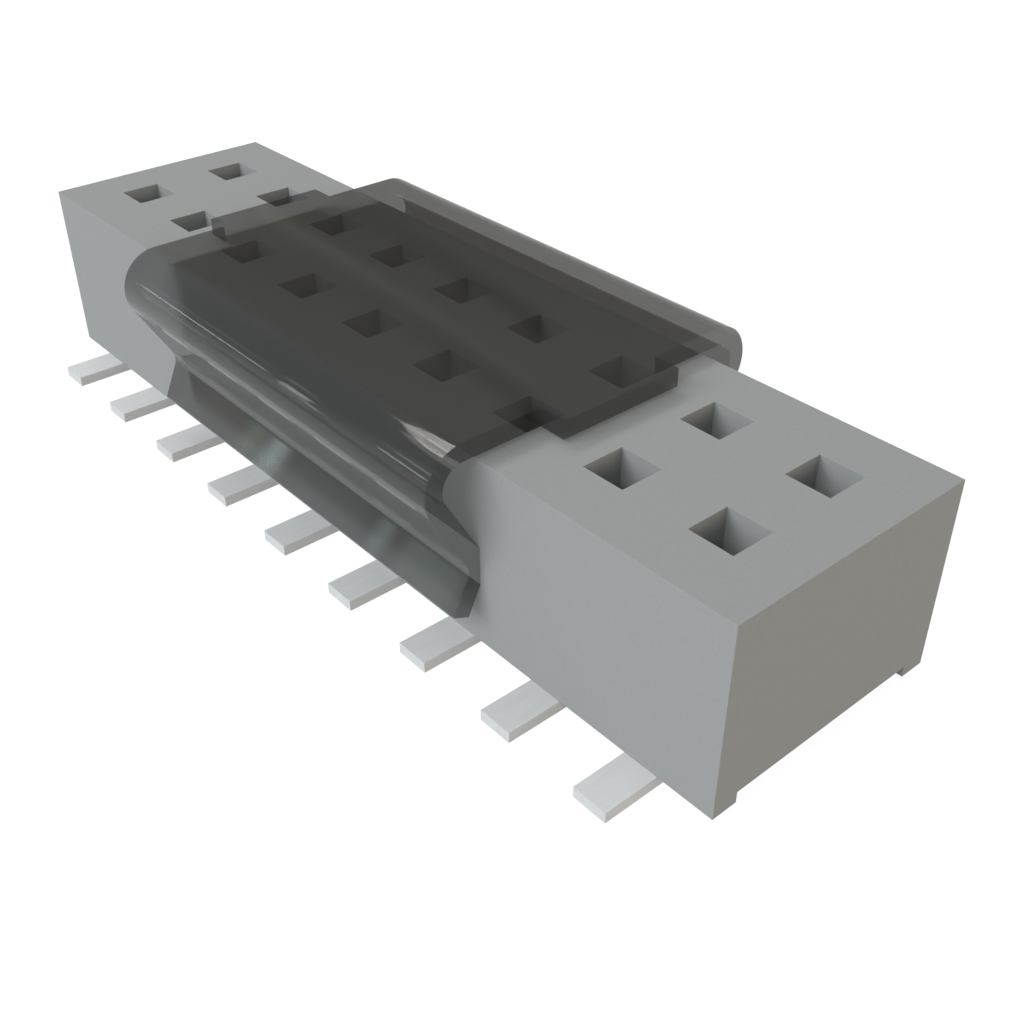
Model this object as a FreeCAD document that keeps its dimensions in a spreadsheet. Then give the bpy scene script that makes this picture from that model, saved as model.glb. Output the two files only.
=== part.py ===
import FreeCAD, Part
import math
import os
import Sketcher

# Surface-mount socket strip with two rows of contacts and a clip-on pick-up pad.
# Millimetres and degrees. X runs along the strip, Y across it, Z up from the board.
# The origin is the middle of the strip, on the board plane under the tails.

SIZES = [
    # Contact field
    ("pitch", 1.27, "spacing of the contacts along a row"),
    ("positions", 9, "contacts in each row"),
    ("row_spacing", 1.27, "spacing of the two rows"),
    # Housing
    ("end_margin", 0.851, "last contact's centre to the end face"),
    ("housing_width", 3.048, "housing across the rows"),
    ("housing_height", 2.159, "foot rails to top face"),
    ("rail_width", 0.305, "foot rail under each long wall"),
    ("rail_height", 0.127, "recess between the foot rails"),
    ("entry_side", 0.5, "square pin entry in the top face"),
    ("entry_depth", 0.559, "straight part of the pin entry"),
    # Contacts, formed from one strip thickness
    ("strip_thickness", 0.127, "contact strip"),
    ("tail_width", 0.406, "solder tail"),
    ("tail_span", 4.318, "tail tip to tail tip across the strip"),
    ("beam_spread", 0.813, "outer faces of a contact's two beams"),
    ("beam_root_width", 0.559, "beam at its root"),
    ("beam_tip_width", 0.305, "beam where its taper meets the cavity ceiling"),
    ("knee_height", 0.45, "board plane to where the beams begin to lean in and narrow"),
    ("bend_radius", 0.1, "inside of the bend from base to beam"),
    ("throat_gap", 0.254, "free gap between the two wiping faces"),
    ("throat_radius", 0.127, "back of the wiping bend"),
    ("throat_drop", 0.45, "cavity ceiling to the wiping bend"),
    ("tip_headroom", 0.127, "cavity ceiling to the beam tips"),
    ("cavity_clearance", 0.013, "contact to each cavity wall"),
    # Pick-up clip, one wall thickness throughout
    ("clip_length", 5.715, "clip without its end tabs"),
    ("tab_reach", 0.3175, "end tab beyond the clip"),
    ("tab_width", 1.524, "end tab"),
    ("clip_wall", 0.203, "clip thickness"),
    ("clip_lift", 0.051, "housing top to the underside of the pad"),
    ("shoulder_overhang", 0.165, "housing wall to the centre of the shoulder bend"),
    ("shoulder_radius", 0.254, "inside of the shoulder bend"),
    ("wing_lean", 30, "wing off upright, in towards the wall"),
    ("grip_drop", 1.4325, "housing top to the lower edge of the grip face"),
    ("grip_radius", 0.203, "hollow bend behind the grip face"),
    ("flare_angle", 25, "wing's free edge off upright, away from the wall"),
    ("flare_length", 0.368, "grip face to the wing's free edge"),
]

# Places worked out from the sizes
FIRST_COLUMN = "(1 - Sizes.positions) * Sizes.pitch / 2"
FIRST_ROW = "-Sizes.row_spacing / 2"
HOUSING_LENGTH = "(Sizes.positions - 1) * Sizes.pitch + 2 * Sizes.end_margin"
CAVITY_DEPTH = "Sizes.housing_height - Sizes.entry_depth"
CAVITY_CEILING = "Sizes.strip_thickness + " + CAVITY_DEPTH
TAIL_REACH = "(Sizes.tail_span - Sizes.row_spacing) / 2"

# Point places on a line or arc, and a sketch's own axes and origin
START, END, CENTRE = 1, 2, 3
ACROSS, UPWARD = -1, -2
ORIGIN = (-1, 1)

doc = FreeCAD.newDocument("socket_strip")
sheet = doc.addObject("Spreadsheet::Sheet", "Sizes")


def fill_sheet():
    for row, (name, value, note) in enumerate(SIZES, start=1):
        sheet.set(f"A{row}", name)
        sheet.set(f"B{row}", str(value))
        sheet.set(f"C{row}", note)
        sheet.setAlias(f"B{row}", name)
    doc.recompute()


def number(expression):
    return float(sheet.evalExpression(expression))


def origin_feature(body, role):
    return next(feature for feature in body.Origin.OriginFeatures if feature.Role == role)


def new_body(name):
    body = doc.addObject("PartDesign::Body", name)
    body.Label = name
    return body


def new_sketch(body, name, plane, offset=None):
    """Sketch on one of the body's origin planes; offset maps x, y, z to expressions."""
    sketch = body.newObject("Sketcher::SketchObject", name)
    sketch.AttachmentSupport = (origin_feature(body, plane), [""])
    sketch.MapMode = "FlatFace"
    for axis, expression in (offset or {}).items():
        sketch.setExpression("AttachmentOffset.Base." + axis, expression)
    return sketch


def drive(sketch, name, kind, where, expression):
    """Driving dimension whose value follows an expression in the sheet's sizes."""
    index = sketch.addConstraint(Sketcher.Constraint(kind, *where, number(expression)))
    sketch.renameConstraint(index, name)
    sketch.setExpression("Constraints." + name, expression)


def drive_angle(sketch, name, side, expression):
    """Angle of a line from the sketch's X axis, in degrees."""
    index = sketch.addConstraint(
        Sketcher.Constraint("Angle", side, math.radians(number(expression))))
    sketch.renameConstraint(index, name)
    sketch.setExpression("Constraints." + name, f"({expression}) * 1 deg")


def line(sketch, start, end):
    return sketch.addGeometry(Part.LineSegment(start, end))


def arc(sketch, middle, radius, first, last):
    """Arc counted the left-hand way round from the first angle to the last."""
    circle = Part.Circle(middle, FreeCAD.Vector(0, 0, 1), radius)
    return sketch.addGeometry(Part.ArcOfCircle(circle, first, last))


def relate(sketch, relations):
    for relation in relations:
        sketch.addConstraint(Sketcher.Constraint(*relation))


def outline(sketch, corners):
    """Closed outline of straight lines; those along an axis are held to it."""
    points = [FreeCAD.Vector(x, y, 0) for x, y in corners]
    ends = points[1:] + points[:1]
    for start, end in zip(points, ends):
        side = line(sketch, start, end)
        if start.y == end.y:
            sketch.addConstraint(Sketcher.Constraint("Horizontal", side))
        if start.x == end.x:
            sketch.addConstraint(Sketcher.Constraint("Vertical", side))
    for side in range(len(points)):
        following = (side + 1) % len(points)
        sketch.addConstraint(Sketcher.Constraint("Coincident", side, END, following, START))


def direction(angle):
    return FreeCAD.Vector(math.cos(angle), math.sin(angle), 0)


def rectangle(sketch, left, right, front, back):
    """Rectangle given by the distance from the sketch's origin to each side."""
    x0, x1 = -number(left), number(right)
    y0, y1 = -number(front), number(back)
    outline(sketch, [(x0, y0), (x1, y0), (x1, y1), (x0, y1)])
    drive(sketch, "Left", "DistanceX", (0, START, *ORIGIN), left)
    drive(sketch, "Right", "DistanceX", (*ORIGIN, 0, END), right)
    drive(sketch, "Front", "DistanceY", (0, START, *ORIGIN), front)
    drive(sketch, "Back", "DistanceY", (*ORIGIN, 2, START), back)


def pad(body, name, sketch, length, side="One side"):
    feature = body.newObject("PartDesign::Pad", name)
    feature.Profile = sketch
    feature.SideType = side
    feature.setExpression("Length", length)
    doc.recompute()
    return feature


def pocket(body, name, sketch, depth, side="One side", upward=False):
    """Cut into the solid, checked to have taken material away."""
    before = body.Shape.Volume
    feature = body.newObject("PartDesign::Pocket", name)
    feature.Profile = sketch
    feature.SideType = side
    feature.Reversed = upward
    feature.setExpression("Length", depth)
    doc.recompute()
    if not feature.Shape.Volume < before:
        raise RuntimeError(name + " cuts nothing")
    return feature


def mirrored(body, name, feature, plane):
    mirror = body.newObject("PartDesign::Mirrored", name)
    mirror.Originals = [feature]
    mirror.MirrorPlane = (origin_feature(body, plane), [""])
    body.Tip = mirror
    doc.recompute()


def contact_grid(body, name, feature):
    """Repeat a feature of the first contact over both rows."""
    grid = body.newObject("PartDesign::LinearPattern", name)
    grid.Originals = [feature]
    grid.Direction = (origin_feature(body, "X_Axis"), [""])
    grid.Mode = "Spacing"
    grid.setExpression("Offset", "Sizes.pitch")
    grid.setExpression("Occurrences", "Sizes.positions")
    grid.Direction2 = (origin_feature(body, "Y_Axis"), [""])
    grid.setExpression("Length2", "Sizes.row_spacing")
    grid.Occurrences2 = 2
    body.Tip = grid
    doc.recompute()


def make_housing():
    """Moulded bar on two foot rails, with a square entry and a cavity for each contact."""
    body = new_body("housing")
    body.setExpression("Placement.Base.z", "Sizes.strip_thickness")

    half, top = number("Sizes.housing_width / 2"), number("Sizes.housing_height")
    inner = number("Sizes.housing_width / 2 - Sizes.rail_width")
    ceiling = number("Sizes.rail_height")
    section = new_sketch(body, "BarSection", "YZ_Plane")
    outline(section, [(-half, 0), (-inner, 0), (-inner, ceiling), (inner, ceiling),
                      (inner, 0), (half, 0), (half, top), (-half, top)])
    section.addConstraint(Sketcher.Constraint("PointOnObject", 0, START, ACROSS))
    section.addConstraint(Sketcher.Constraint("Symmetric", 0, START, 4, END, UPWARD))
    section.addConstraint(Sketcher.Constraint("Equal", 0, 4))
    drive(section, "Width", "DistanceX", (0, START, 4, END), "Sizes.housing_width")
    drive(section, "Rail", "DistanceX", (0, START, 0, END), "Sizes.rail_width")
    drive(section, "Recess", "DistanceY", (1, START, 1, END), "Sizes.rail_height")
    drive(section, "Height", "DistanceY", (5, START, 5, END), "Sizes.housing_height")
    pad(body, "Bar", section, HOUSING_LENGTH, side="Symmetric")

    entry = new_sketch(body, "EntrySquare", "XY_Plane",
                       {"x": FIRST_COLUMN, "y": FIRST_ROW, "z": "Sizes.housing_height"})
    rectangle(entry, *["Sizes.entry_side / 2"] * 4)
    contact_grid(body, "Entries", pocket(body, "Entry", entry, "Sizes.entry_depth"))

    half_spread = "Sizes.beam_spread / 2 + Sizes.cavity_clearance"
    half_root = "Sizes.beam_root_width / 2 + Sizes.cavity_clearance"
    cavity = new_sketch(body, "CavityOutline", "XY_Plane", {"x": FIRST_COLUMN, "y": FIRST_ROW})
    rectangle(cavity, half_spread, half_spread, half_root, half_root)
    contact_grid(body, "Cavities", pocket(body, "Cavity", cavity, CAVITY_DEPTH, upward=True))
    return body


def beam_profile(sketch):
    """Half of the formed strip, from the middle of the base up one beam to its tip.

    The beam leans in from the knee to the throat, then flares out until its tip is back in line
    with its root.
    """
    strip, bend = number("Sizes.strip_thickness"), number("Sizes.bend_radius")
    spread = number("Sizes.beam_spread / 2")
    back, front = number("Sizes.throat_radius"), number("Sizes.throat_radius + Sizes.strip_thickness")
    ceiling = number(CAVITY_CEILING)
    centre = FreeCAD.Vector(number("Sizes.throat_gap / 2") + front,
                            ceiling - number("Sizes.throat_drop"), 0)
    root = FreeCAD.Vector(spread - bend - strip, bend + strip, 0)
    back_knee = FreeCAD.Vector(spread, number("Sizes.knee_height"), 0)
    back_tip = FreeCAD.Vector(spread, ceiling - number("Sizes.tip_headroom"), 0)

    def tilt(point):
        """Angle off upright of the line from a point on the back face that just touches the throat."""
        across, along = point.x - centre.x, abs(point.y - centre.y)
        return math.atan2(across, along) + math.asin(back / math.hypot(across, along))

    def throat(radius, angle):
        """Point on the wiping bend; the angle is counted up from the pin side."""
        return centre + direction(math.pi - angle) * radius

    lean, mouth = tilt(back_knee), tilt(back_tip)
    front_knee = back_knee - FreeCAD.Vector(1, math.tan(lean / 2), 0) * strip
    front_tip = back_tip - direction(-mouth) * strip
    back_lean, back_flare = throat(back, -lean), throat(back, mouth)
    front_lean, front_flare = throat(front, -lean), throat(front, mouth)

    axis_low, axis_high = FreeCAD.Vector(0, 0, 0), FreeCAD.Vector(0, strip, 0)
    under = line(sketch, axis_low, FreeCAD.Vector(root.x, 0, 0))
    outer_bend = arc(sketch, root, bend + strip, -math.pi / 2, 0)
    outer_wall = line(sketch, FreeCAD.Vector(spread, root.y, 0), back_knee)
    outer_lean = line(sketch, back_knee, back_lean)
    outer_throat = arc(sketch, centre, back, math.pi - mouth, math.pi + lean)
    outer_flare = line(sketch, back_flare, back_tip)
    tip = line(sketch, back_tip, front_tip)
    inner_flare = line(sketch, front_tip, front_flare)
    inner_throat = arc(sketch, centre, front, math.pi - mouth, math.pi + lean)
    inner_lean = line(sketch, front_lean, front_knee)
    inner_wall = line(sketch, front_knee, FreeCAD.Vector(spread - strip, root.y, 0))
    inner_bend = arc(sketch, root, bend, -math.pi / 2, 0)
    over = line(sketch, FreeCAD.Vector(root.x, strip, 0), axis_high)
    middle = line(sketch, axis_high, axis_low)

    relate(sketch, [
        ("Coincident", under, START, *ORIGIN),
        ("Horizontal", under), ("Horizontal", over), ("Vertical", middle),
        ("Vertical", outer_wall), ("Vertical", inner_wall),
        ("Tangent", under, END, outer_bend, START),
        ("Tangent", outer_bend, END, outer_wall, START),
        ("Coincident", outer_wall, END, outer_lean, START),
        ("Tangent", outer_lean, END, outer_throat, END),
        ("Tangent", outer_throat, START, outer_flare, START),
        ("Coincident", outer_flare, END, tip, START),
        ("Perpendicular", outer_flare, tip),
        ("Coincident", tip, END, inner_flare, START),
        ("Parallel", outer_flare, inner_flare),
        ("Tangent", inner_flare, END, inner_throat, START),
        ("Tangent", inner_throat, END, inner_lean, START),
        ("Parallel", outer_lean, inner_lean),
        ("Coincident", inner_lean, END, inner_wall, START),
        ("Tangent", inner_wall, END, inner_bend, END),
        ("Tangent", inner_bend, START, over, START),
        ("Coincident", over, END, middle, START),
        ("Coincident", middle, END, under, START),
        ("Coincident", outer_bend, CENTRE, inner_bend, CENTRE),
        ("Coincident", outer_throat, CENTRE, inner_throat, CENTRE),
    ])

    drive(sketch, "Strip", "Distance", (middle,), "Sizes.strip_thickness")
    drive(sketch, "Bend", "Radius", (inner_bend,), "Sizes.bend_radius")
    drive(sketch, "Spread", "DistanceX", (*ORIGIN, outer_wall, START), "Sizes.beam_spread / 2")
    drive(sketch, "ThroatBack", "Radius", (outer_throat,), "Sizes.throat_radius")
    drive(sketch, "TipThickness", "Distance", (tip,), "Sizes.strip_thickness")
    drive(sketch, "ThroatAcross", "DistanceX", (*ORIGIN, outer_throat, CENTRE),
          "Sizes.throat_gap / 2 + Sizes.throat_radius + Sizes.strip_thickness")
    drive(sketch, "ThroatHeight", "DistanceY", (*ORIGIN, outer_throat, CENTRE),
          CAVITY_CEILING + " - Sizes.throat_drop")
    drive(sketch, "KneeHeight", "DistanceY", (*ORIGIN, outer_lean, START), "Sizes.knee_height")
    drive(sketch, "TipAcross", "DistanceX", (*ORIGIN, tip, START), "Sizes.beam_spread / 2")
    drive(sketch, "TipHeight", "DistanceY", (*ORIGIN, tip, START),
          CAVITY_CEILING + " - Sizes.tip_headroom")


def taper_cut(sketch):
    """Triangle that narrows the beams on one side, from the knee up."""
    root, tip = number("Sizes.beam_root_width / 2"), number("Sizes.beam_tip_width / 2")
    low, high = number("Sizes.knee_height"), number(CAVITY_CEILING)
    outline(sketch, [(root, low), (root, high), (tip, high)])
    drive(sketch, "Root", "DistanceX", (*ORIGIN, 0, START), "Sizes.beam_root_width / 2")
    drive(sketch, "Tip", "DistanceX", (*ORIGIN, 1, END), "Sizes.beam_tip_width / 2")
    drive(sketch, "Low", "DistanceY", (*ORIGIN, 0, START), "Sizes.knee_height")
    drive(sketch, "High", "DistanceY", (*ORIGIN, 0, END), CAVITY_CEILING)


def make_contact(row, column):
    """Stamped strip: a flat tail, a base, and two beams that wipe the pin from both sides."""
    body = new_body(f"contact_{row}_{column}")
    if row == "back":
        body.Placement.Rotation = FreeCAD.Rotation(FreeCAD.Vector(0, 0, 1), 180)
    side = "-" if row == "front" else ""
    body.setExpression("Placement.Base.x", f"{FIRST_COLUMN} + {column - 1} * Sizes.pitch")
    body.setExpression("Placement.Base.y", side + "Sizes.row_spacing / 2")

    tail = new_sketch(body, "TailOutline", "XY_Plane")
    rectangle(tail, "Sizes.tail_width / 2", "Sizes.tail_width / 2",
              TAIL_REACH, "Sizes.beam_root_width / 2")
    pad(body, "Tail", tail, "Sizes.strip_thickness")

    profile = new_sketch(body, "BeamProfile", "XZ_Plane")
    beam_profile(profile)
    beam = pad(body, "Beam", profile, "Sizes.beam_root_width", side="Symmetric")
    mirrored(body, "BeamPair", beam, "YZ_Plane")

    wedge = new_sketch(body, "TaperWedge", "YZ_Plane")
    taper_cut(wedge)
    taper = pocket(body, "Taper", wedge, "2 * Sizes.beam_spread", side="Symmetric")
    mirrored(body, "TaperPair", taper, "XZ_Plane")
    return body


def clip_profile(sketch):
    """Half of the clip's section: pad, round shoulder, leaning wing, grip face and flare."""
    lift, wall = number("Sizes.clip_lift"), number("Sizes.clip_wall")
    shoulder = number("Sizes.shoulder_radius")
    hollow = number("Sizes.grip_radius")
    side = number("Sizes.housing_width / 2")
    lean = math.radians(number("Sizes.wing_lean"))
    flare = math.radians(number("Sizes.flare_angle"))
    centre = FreeCAD.Vector(side + number("Sizes.shoulder_overhang"), lift - shoulder, 0)

    def bend(radius):
        """Lower end of the shoulder bend."""
        return centre + direction(-lean) * radius

    outward = direction(flare)
    down_flare, up_wing = direction(flare - math.pi / 2), direction(math.pi / 2 - lean)
    inner_bend, outer_bend = bend(shoulder), bend(shoulder + wall)
    grip_top = FreeCAD.Vector(side, inner_bend.y - (inner_bend.x - side) / math.tan(lean), 0)
    grip_low = FreeCAD.Vector(side, -number("Sizes.grip_drop"), 0)
    free_inner = grip_low + down_flare * number("Sizes.flare_length")
    free_outer = free_inner + outward * wall
    drop = ((outer_bend.x - free_outer.x) - (outer_bend.y - free_outer.y) * math.tan(lean)) / (
        math.tan(lean) + math.tan(flare))
    corner = FreeCAD.Vector(free_outer.x + drop * math.tan(flare), free_outer.y - drop, 0)
    run = hollow * math.tan((lean + flare) / 2)
    hollow_low, hollow_high = corner + down_flare * run, corner + up_wing * run
    hollow_centre = hollow_low + outward * hollow

    axis_low, axis_high = FreeCAD.Vector(0, lift, 0), FreeCAD.Vector(0, lift + wall, 0)
    under = line(sketch, axis_low, FreeCAD.Vector(centre.x, lift, 0))
    inner_shoulder = arc(sketch, centre, shoulder, -lean, math.pi / 2)
    inner_wing = line(sketch, grip_top, inner_bend)
    grip = line(sketch, grip_top, grip_low)
    inner_flare = line(sketch, free_inner, grip_low)
    free_edge = line(sketch, free_inner, free_outer)
    outer_flare = line(sketch, free_outer, hollow_low)
    outer_hollow = arc(sketch, hollow_centre, hollow, math.pi - lean, math.pi + flare)
    outer_wing = line(sketch, hollow_high, outer_bend)
    outer_shoulder = arc(sketch, centre, shoulder + wall, -lean, math.pi / 2)
    over = line(sketch, FreeCAD.Vector(centre.x, lift + wall, 0), axis_high)
    middle = line(sketch, axis_high, axis_low)

    relate(sketch, [
        ("PointOnObject", under, START, UPWARD),
        ("Horizontal", under), ("Horizontal", over), ("Vertical", middle), ("Vertical", grip),
        ("Tangent", under, END, inner_shoulder, END),
        ("Tangent", inner_shoulder, START, inner_wing, END),
        ("Coincident", inner_wing, START, grip, START),
        ("Coincident", grip, END, inner_flare, END),
        ("Coincident", inner_flare, START, free_edge, START),
        ("Perpendicular", inner_flare, free_edge),
        ("Coincident", free_edge, END, outer_flare, START),
        ("Parallel", inner_flare, outer_flare),
        ("Tangent", outer_flare, END, outer_hollow, END),
        ("Tangent", outer_hollow, START, outer_wing, START),
        ("Parallel", inner_wing, outer_wing),
        ("Tangent", outer_wing, END, outer_shoulder, START),
        ("Tangent", outer_shoulder, END, over, START),
        ("Coincident", over, END, middle, START),
        ("Coincident", middle, END, under, START),
        ("Coincident", inner_shoulder, CENTRE, outer_shoulder, CENTRE),
    ])

    drive(sketch, "Lift", "DistanceY", (*ORIGIN, under, START), "Sizes.clip_lift")
    drive(sketch, "Wall", "Distance", (middle,), "Sizes.clip_wall")
    drive(sketch, "Shoulder", "Radius", (inner_shoulder,), "Sizes.shoulder_radius")
    drive(sketch, "Overhang", "DistanceX", (*ORIGIN, inner_shoulder, CENTRE),
          "Sizes.housing_width / 2 + Sizes.shoulder_overhang")
    drive(sketch, "Seat", "DistanceX", (*ORIGIN, grip, START), "Sizes.housing_width / 2")
    drive(sketch, "GripDrop", "DistanceY", (grip, END, *ORIGIN), "Sizes.grip_drop")
    drive(sketch, "FlareLength", "Distance", (inner_flare,), "Sizes.flare_length")
    drive(sketch, "FreeEdge", "Distance", (free_edge,), "Sizes.clip_wall")
    drive(sketch, "Hollow", "Radius", (outer_hollow,), "Sizes.grip_radius")
    drive_angle(sketch, "Lean", inner_wing, "90 - Sizes.wing_lean")
    drive_angle(sketch, "Flare", inner_flare, "90 + Sizes.flare_angle")


def make_clip():
    """Bent plastic clip that grips both long walls and gives a flat pad to pick up by."""
    body = new_body("pick_up_clip")
    body.setExpression("Placement.Base.z", "Sizes.strip_thickness + Sizes.housing_height")

    section = new_sketch(body, "WingSection", "YZ_Plane")
    clip_profile(section)
    wing = pad(body, "Wing", section, "Sizes.clip_length", side="Symmetric")
    mirrored(body, "Wings", wing, "XZ_Plane")

    tabs = new_sketch(body, "TabOutline", "XY_Plane", {"z": "Sizes.clip_lift"})
    half_reach = "Sizes.clip_length / 2 + Sizes.tab_reach"
    rectangle(tabs, half_reach, half_reach, "Sizes.tab_width / 2", "Sizes.tab_width / 2")
    body.Tip = pad(body, "Tabs", tabs, "Sizes.clip_wall")
    return body


def check(bodies):
    """Stop if anything failed to build, a sketch is loose, or a piece isn't one sound solid."""
    for item in doc.Objects:
        if "Invalid" in item.State or "Error" in item.State:
            raise RuntimeError(f"{item.Label}: {item.State}")
        if item.TypeId == "Sketcher::SketchObject" and not item.FullyConstrained:
            raise RuntimeError(item.Label + " isn't fully constrained")
    for body in bodies:
        shape = body.Shape
        if shape.isNull() or not shape.isValid() or len(shape.Solids) != 1:
            raise RuntimeError(body.Label + " isn't one valid solid")


def main():
    fill_sheet()
    columns = range(1, int(number("Sizes.positions")) + 1)
    bodies = [make_housing(), make_clip()]
    bodies += [make_contact(row, column) for row in ("front", "back") for column in columns]
    doc.recompute()
    check(bodies)
    os.makedirs("parts", exist_ok=True)
    for body in bodies:
        body.Shape.exportStep(f"parts/{body.Label}.step")
        print(f"{body.Label}: {body.Shape.Volume:.4f} mm3")


main()
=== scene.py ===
import math

import bmesh
import bpy
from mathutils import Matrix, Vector


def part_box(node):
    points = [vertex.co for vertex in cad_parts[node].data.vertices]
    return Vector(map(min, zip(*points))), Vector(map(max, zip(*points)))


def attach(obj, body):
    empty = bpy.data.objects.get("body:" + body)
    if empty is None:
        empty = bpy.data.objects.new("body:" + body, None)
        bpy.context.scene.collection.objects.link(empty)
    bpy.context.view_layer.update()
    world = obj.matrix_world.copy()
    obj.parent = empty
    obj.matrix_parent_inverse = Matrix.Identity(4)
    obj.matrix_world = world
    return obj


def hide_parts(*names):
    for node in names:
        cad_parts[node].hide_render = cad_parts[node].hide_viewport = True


# Socket strip: the housing and contacts keep their solids and get their finish here, and the
# clip is modelled again with smooth bends. Lengths are in metres, worked from millimetres.

MM = 0.001

# Pick-up clip, the same section as its solid
CLIP_WALL = 0.203 * MM
CLIP_LIFT = 0.051 * MM
CLIP_LENGTH = 5.715 * MM
TAB_HALF_WIDTH = 0.762 * MM
SHOULDER_OVERHANG = 0.165 * MM
SHOULDER_RADIUS = 0.254 * MM
WING_LEAN = math.radians(30)
GRIP_DROP = 1.4325 * MM
GRIP_RADIUS = 0.203 * MM
FLARE_ANGLE = math.radians(25)
FLARE_LENGTH = 0.368 * MM
SHOULDER_STEPS = 40
HOLLOW_STEPS = 14
SHARP_ANGLE = math.radians(20)
# How far the grip faces go into the housing's wall, so that no two faces coincide
GRIP_SEAT = 0.002 * MM

# Materials: noise scales are in waves per metre, and pairs are the ends of a range
NOISE_MIDDLE = (0.3, 0.7)

HOUSING_COLOUR = (0.318, 0.322, 0.315)
HOUSING_IOR = 1.5
HOUSING_SPECULAR = 0.06
HOUSING_ROUGHNESS = (0.75, 0.9)
HOUSING_MOTTLE = (0.98, 1.02)
HOUSING_MOTTLE_SCALE = 25000
HOUSING_GRAIN_SCALE = 42000
HOUSING_GRAIN_DEPTH = 0.004 * MM
HOUSING_GRAIN_STRENGTH = 0.35

CONTACT_COLOUR = (0.628, 0.633, 0.628)
CONTACT_METALLIC = 0.05
CONTACT_SPECULAR = 0.15
CONTACT_ROUGHNESS = (0.6, 0.72)
CONTACT_MOTTLE = (0.97, 1.03)
CONTACT_LINES_SCALE = 16000
CONTACT_LINES_STRETCH = (1, 0.12, 1)
CONTACT_LINES_DEPTH = 0.002 * MM
CONTACT_LINES_STRENGTH = 0.3

CLIP_COLOUR = (0.011, 0.011, 0.009)
CLIP_IOR = 1.58
CLIP_ROUGHNESS = 0.035
CLIP_OPACITY = (0.455, 0.97)
CLIP_EDGE_POWER = 10.0
CLIP_LINES_SCALE = 9000
CLIP_LINES_STRETCH = (0.02, 1, 1)
CLIP_LINES_DEPTH = 0.0008 * MM
CLIP_LINES_STRENGTH = 0.2
# How many of the clip's clear faces light may pass
CLEAR_FACES = 32

# Camera, as the photograph sees the strip
CAMERA_PLACE = Vector((10.324, -7.593, 8.442)) * MM
CAMERA_AIM = Vector((2.402, -0.723, 1.1)) * MM
CAMERA_LENS = 44.309
CAMERA_NEAR = 0.5 * MM
CAMERA_FAR = 10.0

# Studio: azimuths are degrees round from +Y towards +X, elevations degrees above the floor, and
# lamps' sizes and shifts are degrees as the strip sees them
LAMP_DISTANCE = 0.15

# Key, a window in one plane: sideways and upward shift, width, height and radiance of each pane
KEY_DIRECTION = (-88, 52)
KEY_COLOUR = (1.03, 1, 0.98)
KEY_PANES = (
    ((-14.2, -4.62), 6.4, 1.15, 7.5),
    ((0, -4.62), 22.0, 1.15, 5.2),
    ((14.2, -4.62), 6.4, 1.15, 7.5),
    ((-11.7, -2.72), 11.4, 2.45, 4.4),
    ((-1, -2.72), 10.0, 2.45, 5.8),
    ((7.7, -2.72), 7.4, 2.45, 3.2),
    ((14.4, -2.72), 6.0, 2.45, 6.0),
    ((0, 2.6), 34.8, 8.1, 8.2),
)

# Small low lamps that glint in the clip: azimuth, elevation, width, height and radiance
LOW_COLOUR = (0.9, 1, 1)
LOW_LAMPS = (
    (-126, 6.0, 7, 2.4, 3.9),
    (-131.3, 4.6, 1.6, 6, 4.5),
    (-137.4, 6.2, 2.8, 3.0, 4.5),
    (-136.0, 17.0, 2, 3, 2.1),
)

# Fills, which light the strip without showing in gloss: name, azimuth, elevation, width, height,
# radiance and colour
FILLS = (
    ("front_left", -158, 28, 24, 24, 5.0, (0.955, 1, 1.05)),
    ("front", 180, 22, 20, 26, 2.6, (0.83, 1, 1.14)),
    ("front_high", 180, 45, 50, 20, 4.6, (0.965, 1, 1.03)),
    ("right", 90, 12, 50, 24, 2.15, (1.09, 0.98, 0.82)),
    ("back", 12, 12, 60, 20, 1.5, (1.04, 0.98, 0.9)),
)

# Floor and background: the whites are what the camera sees, the grey what it sees through the
# clip, and the glow what lights the strip from below
FLOOR_HALF = 0.6
FLOOR_COLOUR = (0.42, 0.42, 0.41)
FLOOR_ROUGHNESS = 0.9
FLOOR_GLOW = (0.6, 0.6, 0.59)
FLOOR_GLOW_SHARE = 0.8
FLOOR_WHITE = 1.2
WORLD_WHITE = 1.0
THROUGH_CLIP = (0.42, 0.42, 0.41)

# Light of the open sky on the strip
AMBIENT = (0.24, 0.245, 0.25)

# What gloss shows: sky above, a white ground that is dimmer near the horizon, and soft patches
SKY = (0.5, 0.51, 0.52)
HORIZON_BLUR = 0.5
GROUND_FAR = (0.7, 0.71, 0.7)
GROUND_NEAR = (1, 1, 1)
GROUND_FROM = -3
GROUND_TO = -24

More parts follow.
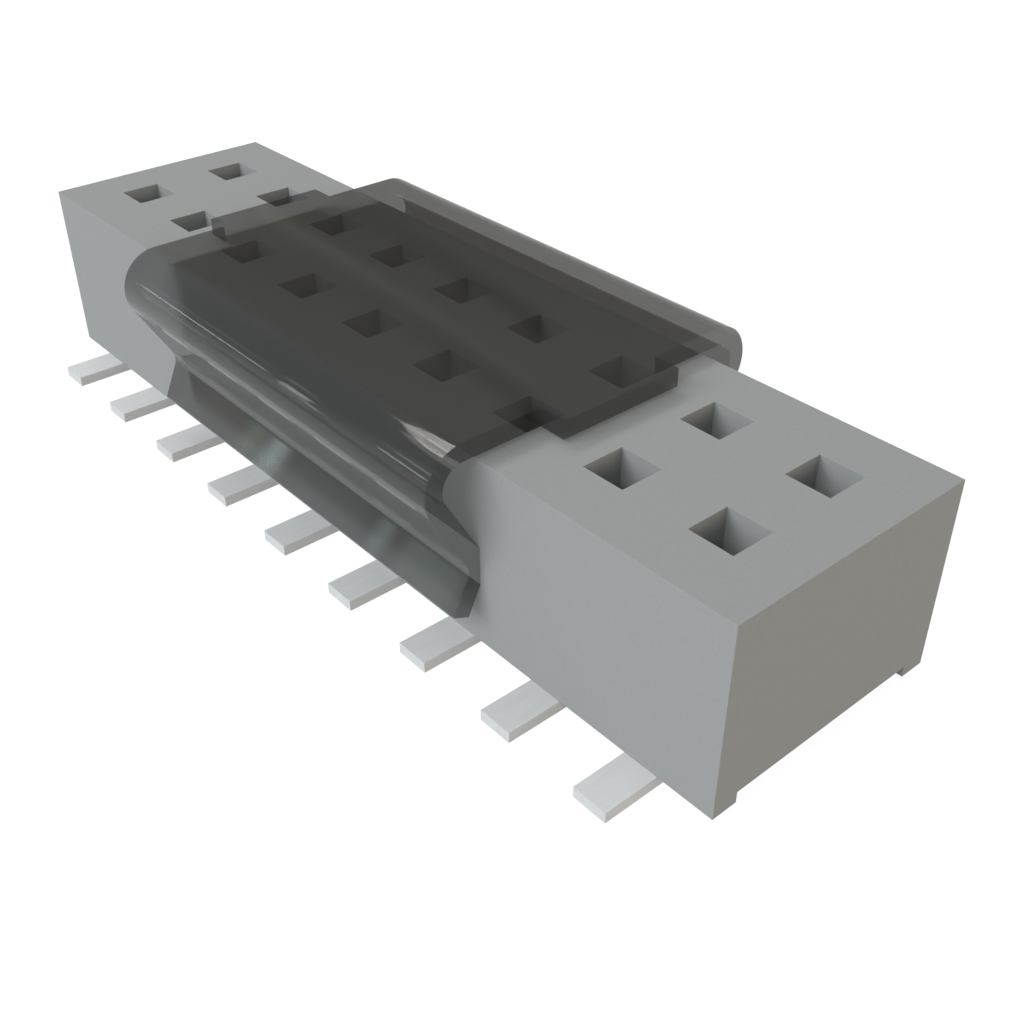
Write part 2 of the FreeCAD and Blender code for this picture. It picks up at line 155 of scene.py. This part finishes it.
# Azimuth, elevation, half width, half height, softness, slant and colour of each patch: the key
# window first, then the sky, then the horizon
PATCHES = (
    (-90, 52.5, 18, 6.9, 0.8, 0, (2.6, 2.6, 2.5)),
    (-90, 52.5, 2, 6.9, 3, 0, (6.6, 6.5, 6.3)),
    (-73.5, 52, 2, 7.5, 3, 0, (6.6, 6.5, 6.3)),
    (-107, 52.5, 1, 7.4, 1.5, 0, (4.5, 4.4, 4.3)),
    (-138, 14, 5, 12, 6, 0, (0.74, 0.9, 0.92)),
    (-50, 32, 20, 20, 14, 0, (0.5, 0.485, 0.42)),
    (-50, 18, 17, 8, 16, 0, (0.142, 0.125, 0.094)),
    (-53, 27.0, 10, 0.9, 1.0, -0.63, (0.26, 0.25, 0.22)),
    (-53, 26.1, 8, 0.25, 0.9, -0.63, (0.48, 0.46, 0.355)),
    (-52.5, 23.6, 5, 0.5, 1.0, -0.6, (0.135, 0.125, 0.105)),
    (-128.6, -2, 1.2, 3, 1.2, 0, (0.9, 0.86, 0.84)),
    (-130.3, -2, 0.4, 3, 0.8, 0, (1.6, 1.9, 1.55)),
    (-131.5, -2, 0.4, 1.6, 1.0, 0, (3.6, 4.4, 4.3)),
    (-134.6, -2, 2.0, 3, 1, 0, (0.92, 1.04, 1.02)),
    (-137.5, -2, 0.3, 1.2, 1.0, 0, (2.4, 2.9, 2.85)),
    (-140.2, -2, 1.6, 3, 1, 0, (1.6, 1.9, 1.75)),
)


def node(tree, kind, place=(0, 0), **values):
    made = tree.nodes.new(kind)
    made.location = place
    for name, value in values.items():
        setattr(made, name, value)
    return made


def math_node(tree, operation, first, second=None):
    """One sum on sockets or plain numbers."""
    made = node(tree, "ShaderNodeMath", operation=operation)
    for socket, value in zip(made.inputs, (first, second)):
        if isinstance(value, (int, float)):
            socket.default_value = value
        elif value is not None:
            tree.links.new(value, socket)
    return made.outputs["Value"]


def map_range(tree, value, taken, given=(0, 1), place=(0, 0), **settings):
    """Maps one range of values to another, both given as pairs."""
    made = node(tree, "ShaderNodeMapRange", place, **settings)
    for name, number in zip(("From Min", "From Max", "To Min", "To Max"), (*taken, *given)):
        made.inputs[name].default_value = number
    tree.links.new(value, made.inputs["Value"])
    return made.outputs["Result"]


def eased(tree, value, start, end):
    """0 at start to 1 at end, with soft ends."""
    return map_range(tree, value, (start, end), interpolation_type="SMOOTHSTEP")


def colour_mix(tree, factor, low, high):
    """Mix of two colours, where each is either plain or another node's output."""
    mix = node(tree, "ShaderNodeMix", data_type="RGBA")
    tree.links.new(factor, mix.inputs["Factor"])
    for socket, colour in ((mix.inputs["A"], low), (mix.inputs["B"], high)):
        if isinstance(colour, tuple):
            socket.default_value = (*colour, 1)
        else:
            tree.links.new(colour, socket)
    return mix.outputs["Result"]


def material(name):
    """New material; returns it with its tree and its main shader."""
    made = bpy.data.materials.new(name)
    made.use_nodes = True
    return made, made.node_tree, made.node_tree.nodes["Principled BSDF"]


def object_noise(tree, scale, detail=3.0, stretch=(1, 1, 1)):
    """Noise laid through the piece itself; scale is in waves per metre."""
    place = node(tree, "ShaderNodeTexCoord", (-1100, 0))
    squeeze = node(tree, "ShaderNodeMapping", (-900, 0))
    squeeze.inputs["Scale"].default_value = stretch
    noise = node(tree, "ShaderNodeTexNoise", (-700, 0))
    noise.inputs["Scale"].default_value = scale
    noise.inputs["Detail"].default_value = detail
    tree.links.new(place.outputs["Object"], squeeze.inputs["Vector"])
    tree.links.new(squeeze.outputs["Vector"], noise.inputs["Vector"])
    return noise.outputs["Fac"]


def shade_colour(tree, shader, colour, noise, factors):
    """Base colour that is a plain colour made a little lighter or darker by a noise."""
    scale = node(tree, "ShaderNodeVectorMath", (-220, 200), operation="SCALE")
    scale.inputs[0].default_value = colour
    factor = map_range(tree, noise, NOISE_MIDDLE, factors, (-450, 0))
    tree.links.new(factor, scale.inputs["Scale"])
    tree.links.new(scale.outputs["Vector"], shader.inputs["Base Color"])


def vary_roughness(tree, shader, noise, between):
    varied = map_range(tree, noise, NOISE_MIDDLE, between, (-450, -200))
    tree.links.new(varied, shader.inputs["Roughness"])


def grain(tree, shader, height, depth, strength):
    """Bump of a given depth in metres."""
    bump = node(tree, "ShaderNodeBump", (-220, -300))
    bump.inputs["Strength"].default_value = strength
    bump.inputs["Distance"].default_value = depth
    tree.links.new(height, bump.inputs["Height"])
    tree.links.new(bump.outputs["Normal"], shader.inputs["Normal"])


def housing_plastic():
    """Matt glass-filled plastic with the fine grain of a spark-eroded mould."""
    made, tree, shader = material("housing_plastic")
    shader.inputs["IOR"].default_value = HOUSING_IOR
    shader.inputs["Specular IOR Level"].default_value = HOUSING_SPECULAR
    mottle = object_noise(tree, HOUSING_MOTTLE_SCALE, detail=4.0)
    shade_colour(tree, shader, HOUSING_COLOUR, mottle, HOUSING_MOTTLE)
    speck = object_noise(tree, HOUSING_GRAIN_SCALE, detail=2.0)
    vary_roughness(tree, shader, speck, HOUSING_ROUGHNESS)
    grain(tree, shader, speck, HOUSING_GRAIN_DEPTH, HOUSING_GRAIN_STRENGTH)
    return made


def contact_metal():
    """Matt tin plating on rolled strip, with faint rolling lines."""
    made, tree, shader = material("contact_plating")
    shader.inputs["Metallic"].default_value = CONTACT_METALLIC
    shader.inputs["Specular IOR Level"].default_value = CONTACT_SPECULAR
    rolled = object_noise(tree, CONTACT_LINES_SCALE, stretch=CONTACT_LINES_STRETCH)
    shade_colour(tree, shader, CONTACT_COLOUR, rolled, CONTACT_MOTTLE)
    vary_roughness(tree, shader, rolled, CONTACT_ROUGHNESS)
    grain(tree, shader, rolled, CONTACT_LINES_DEPTH, CONTACT_LINES_STRENGTH)
    return made


def clip_plastic():
    """Clear plastic with a dark smoke tint: each face lets a little over half of the light by."""
    made, tree, shader = material("clip_plastic")
    shader.inputs["Base Color"].default_value = (*CLIP_COLOUR, 1)
    shader.inputs["Roughness"].default_value = CLIP_ROUGHNESS
    shader.inputs["IOR"].default_value = CLIP_IOR
    edge = node(tree, "ShaderNodeLayerWeight", (-900, -500))
    edge.inputs["Blend"].default_value = 0.5
    steep = math_node(tree, "POWER", edge.outputs["Facing"], CLIP_EDGE_POWER)
    opaque = map_range(tree, steep, (0, 1), CLIP_OPACITY, (-450, -500))
    tree.links.new(opaque, shader.inputs["Alpha"])
    lines = object_noise(tree, CLIP_LINES_SCALE, detail=4.0, stretch=CLIP_LINES_STRETCH)
    grain(tree, shader, lines, CLIP_LINES_DEPTH, CLIP_LINES_STRENGTH)
    return made


def seen_colour(tree, lit, white):
    """White to the camera, grey to it behind clear plastic, and the given colour to all else."""
    path = node(tree, "ShaderNodeLightPath")
    behind = math_node(tree, "GREATER_THAN", path.outputs["Transparent Depth"], 0.5)
    shown = colour_mix(tree, behind, (white, white, white), THROUGH_CLIP)
    seen = math_node(tree, "MAXIMUM", path.outputs["Is Camera Ray"],
                     path.outputs["Is Transmission Ray"])
    return colour_mix(tree, seen, lit, shown)


def floor_material():
    """Pale floor that takes the strip's soft shadow.

    The camera sees it white, and gloss looks through it at the world's ground.
    """
    made, tree, shader = material("floor")
    shader.inputs["Base Color"].default_value = (*FLOOR_COLOUR, 1)
    shader.inputs["Roughness"].default_value = FLOOR_ROUGHNESS
    shader.inputs["Specular IOR Level"].default_value = 0.0
    glow = node(tree, "ShaderNodeEmission")
    tree.links.new(seen_colour(tree, FLOOR_GLOW, FLOOR_WHITE), glow.inputs["Color"])
    mix = node(tree, "ShaderNodeMixShader")
    mix.inputs["Fac"].default_value = FLOOR_GLOW_SHARE
    tree.links.new(shader.outputs["BSDF"], mix.inputs[1])
    tree.links.new(glow.outputs["Emission"], mix.inputs[2])
    path = node(tree, "ShaderNodeLightPath")
    clear = node(tree, "ShaderNodeBsdfTransparent")
    past = node(tree, "ShaderNodeMixShader")
    tree.links.new(path.outputs["Is Glossy Ray"], past.inputs["Fac"])
    tree.links.new(mix.outputs["Shader"], past.inputs[1])
    tree.links.new(clear.outputs["BSDF"], past.inputs[2])
    tree.links.new(past.outputs["Shader"], tree.nodes["Material Output"].inputs["Surface"])
    made.cycles.emission_sampling = "NONE"
    return made


def arc(centre, radius, first, last, steps):
    """Points on an arc in the section's plane, angles counted up from the outward direction."""
    angles = [first + (last - first) * step / steps for step in range(steps + 1)]
    return [centre + Vector((math.cos(a), math.sin(a))) * radius for a in angles]


def clip_section(half_width):
    """Half of the clip's closed section, as (outward, up) points from the housing's top.

    The outer side runs from the tab's edge to the free edge, and the inner side back again.
    """
    centre = Vector((half_width + SHOULDER_OVERHANG, CLIP_LIFT - SHOULDER_RADIUS))
    outer_radius = SHOULDER_RADIUS + CLIP_WALL
    outer_bend = arc(centre, outer_radius, math.pi / 2, -WING_LEAN, SHOULDER_STEPS)
    inner_bend = arc(centre, SHOULDER_RADIUS, -WING_LEAN, math.pi / 2, SHOULDER_STEPS)

    down_flare = Vector((math.sin(FLARE_ANGLE), -math.cos(FLARE_ANGLE)))
    outward = Vector((math.cos(FLARE_ANGLE), math.sin(FLARE_ANGLE)))
    up_wing = Vector((math.sin(WING_LEAN), math.cos(WING_LEAN)))
    wing_foot = inner_bend[0]
    grip_face = half_width - GRIP_SEAT
    grip_top = wing_foot - up_wing * ((wing_foot.x - grip_face) / up_wing.x)
    grip_low = Vector((grip_face, -GRIP_DROP))
    free_inner = grip_low + down_flare * FLARE_LENGTH
    free_outer = free_inner + outward * CLIP_WALL

    gap = outer_bend[-1] - free_outer
    turn = up_wing.x * down_flare.y - up_wing.y * down_flare.x
    corner = free_outer - down_flare * ((up_wing.x * gap.y - up_wing.y * gap.x) / -turn)
    run = GRIP_RADIUS * math.tan((WING_LEAN + FLARE_ANGLE) / 2)
    hollow_centre = corner + down_flare * run + outward * GRIP_RADIUS
    hollow = arc(hollow_centre, GRIP_RADIUS, math.pi - WING_LEAN, math.pi + FLARE_ANGLE,
                 HOLLOW_STEPS)

    tab_top = Vector((TAB_HALF_WIDTH, CLIP_LIFT + CLIP_WALL))
    tab_under = Vector((TAB_HALF_WIDTH, CLIP_LIFT))
    outer = [tab_top, *outer_bend, *hollow, free_outer]
    inner = [free_inner, grip_low, grip_top, *inner_bend, tab_under]
    return outer, inner


def band(mesh, here, there):
    """Faces between two closed rings of points."""
    count = len(here)
    for first in range(count):
        second = (first + 1) % count
        mesh.faces.new((here[first], here[second], there[second], there[first]))


def build_clip():
    """One closed wall: the section drawn along the strip, with a flush tab at each end."""
    housing_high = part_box("housing")[1]
    clip_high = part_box("pick_up_clip")[1]
    outer, inner = clip_section(housing_high.y)
    right = [(p.x, p.y) for p in outer + inner]
    left = [(-y, z) for y, z in reversed(right)]
    ends = (-CLIP_LENGTH / 2, CLIP_LENGTH / 2)

    mesh = bmesh.new()
    rings = [[mesh.verts.new((x, y, z + housing_high.z)) for y, z in right + left]
             for x in ends]
    band(mesh, *rings)
    half = len(right)
    for ring, tab_end in zip(rings, (-clip_high.x, clip_high.x)):
        mesh.faces.new(ring[:half])
        mesh.faces.new(ring[half:])
        root = [ring[half - 1], ring[half], ring[-1], ring[0]]
        tip = [mesh.verts.new((tab_end, v.co.y, v.co.z)) for v in root]
        band(mesh, root, tip)
        mesh.faces.new(tip)
    bmesh.ops.recalc_face_normals(mesh, faces=mesh.faces)
    bmesh.ops.triangulate(mesh, faces=[f for f in mesh.faces if len(f.verts) > 4])
    for face in mesh.faces:
        face.smooth = True
    for edge in mesh.edges:
        edge.smooth = edge.calc_face_angle(0) < SHARP_ANGLE

    data = bpy.data.meshes.new("clip")
    mesh.to_mesh(data)
    mesh.free()
    piece = bpy.data.objects.new("clip", data)
    bpy.context.scene.collection.objects.link(piece)
    piece.data.materials.append(clip_plastic())
    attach(piece, "root")
    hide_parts("pick_up_clip")


def dress_nodes(frame):
    """Finish of the pieces that keep their solids."""
    housing, contact = housing_plastic(), contact_metal()
    for name, piece in frame["nodes"].items():
        if name == "pick_up_clip":
            continue
        piece.data.materials.clear()
        piece.data.materials.append(housing if name == "housing" else contact)


def direction(azimuth, elevation):
    a, e = math.radians(azimuth), math.radians(elevation)
    return Vector((math.sin(a) * math.cos(e), math.cos(a) * math.cos(e), math.sin(e)))


def softbox(name, azimuth, elevation, width, height, radiance, colour, shift=(0, 0)):
    """Area lamp that looks at the strip, shifted in its own plane; sizes in degrees."""
    towards = direction(azimuth, elevation)
    lamp = bpy.data.lights.new(name, "AREA")
    lamp.shape = "RECTANGLE"
    lamp.size = 2 * LAMP_DISTANCE * math.tan(math.radians(width / 2))
    lamp.size_y = 2 * LAMP_DISTANCE * math.tan(math.radians(height / 2))
    lamp.energy = radiance * math.pi * lamp.size * lamp.size_y
    lamp.color = colour
    made = bpy.data.objects.new(name, lamp)
    made.rotation_mode = "QUATERNION"
    made.rotation_quaternion = towards.to_track_quat("Z", "Y")
    moved = Vector((*(math.tan(math.radians(s)) for s in shift), 0))
    made.location = (towards + made.rotation_quaternion @ moved) * LAMP_DISTANCE
    bpy.context.scene.collection.objects.link(made)
    return made


def surroundings(tree):
    """The colour that gloss sees in each direction."""
    place = node(tree, "ShaderNodeTexCoord")
    axes = node(tree, "ShaderNodeSeparateXYZ")
    tree.links.new(place.outputs["Generated"], axes.inputs["Vector"])
    turn = math_node(tree, "ARCTAN2", axes.outputs["X"], axes.outputs["Y"])
    azimuth = math_node(tree, "DEGREES", turn)
    elevation = math_node(tree, "DEGREES", math_node(tree, "ARCSINE", axes.outputs["Z"]))
    near = eased(tree, elevation, GROUND_FROM, GROUND_TO)
    above = eased(tree, elevation, -HORIZON_BLUR, HORIZON_BLUR)
    colour = colour_mix(tree, above, colour_mix(tree, near, GROUND_FAR, GROUND_NEAR), SKY)
    for middle, height, half_width, half_height, softness, slant, tint in PATCHES:
        across = math_node(tree, "SUBTRACT", azimuth, middle)
        lean = math_node(tree, "MULTIPLY", across, slant)
        upward = math_node(tree, "SUBTRACT", math_node(tree, "ADD", elevation, lean), height)
        mask = 1.0
        for value, half in ((across, half_width), (upward, half_height)):
            off = math_node(tree, "ABSOLUTE", value)
            inside = eased(tree, off, half + softness / 2, half - softness / 2)
            mask = math_node(tree, "MULTIPLY", inside, mask)
        colour = colour_mix(tree, mask, colour, tint)
    return colour


def light_studio():
    """Key window from the left, low glints, fills all round, and a world that gloss shows."""
    for number, (shift, *pane) in enumerate(KEY_PANES, 1):
        softbox(f"key_{number}", *KEY_DIRECTION, *pane, KEY_COLOUR, shift)
    for number, lamp in enumerate(LOW_LAMPS, 1):
        softbox(f"low_{number}", *lamp, LOW_COLOUR)
    for lamp in FILLS:
        softbox(*lamp).visible_glossy = False
    world = bpy.data.worlds.new("studio")
    bpy.context.scene.world = world
    world.use_nodes = True
    tree = world.node_tree
    path = node(tree, "ShaderNodeLightPath")
    lit = colour_mix(tree, path.outputs["Is Glossy Ray"], AMBIENT, surroundings(tree))
    seen = seen_colour(tree, lit, WORLD_WHITE)
    tree.links.new(seen, tree.nodes["Background"].inputs["Color"])


def lay_floor():
    corners = [(-1, -1), (1, -1), (1, 1), (-1, 1)]
    data = bpy.data.meshes.new("floor")
    data.from_pydata([(x * FLOOR_HALF, y * FLOOR_HALF, 0) for x, y in corners], [],
                     [(0, 1, 2, 3)])
    floor = bpy.data.objects.new("floor", data)
    floor.data.materials.append(floor_material())
    bpy.context.scene.collection.objects.link(floor)


def place_camera():
    data = bpy.data.cameras.new("camera")
    data.lens = CAMERA_LENS
    data.clip_start = CAMERA_NEAR
    data.clip_end = CAMERA_FAR
    camera = bpy.data.objects.new("camera", data)
    camera.location = CAMERA_PLACE
    camera.rotation_mode = "QUATERNION"
    camera.rotation_quaternion = (CAMERA_AIM - CAMERA_PLACE).to_track_quat("-Z", "Y")
    bpy.context.scene.collection.objects.link(camera)
    bpy.context.scene.camera = camera


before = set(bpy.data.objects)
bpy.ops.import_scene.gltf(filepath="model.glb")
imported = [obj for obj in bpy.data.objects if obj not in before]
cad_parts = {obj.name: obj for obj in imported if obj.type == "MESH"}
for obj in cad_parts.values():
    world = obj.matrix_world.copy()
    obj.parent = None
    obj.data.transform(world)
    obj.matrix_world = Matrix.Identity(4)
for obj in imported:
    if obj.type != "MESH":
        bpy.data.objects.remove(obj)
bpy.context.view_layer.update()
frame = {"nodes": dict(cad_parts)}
scene = bpy.context.scene
scene.view_settings.view_transform = "Standard"
scene.cycles.transparent_max_bounces = CLEAR_FACES
dress_nodes(frame)
build_clip()
lay_floor()
light_studio()
place_camera()
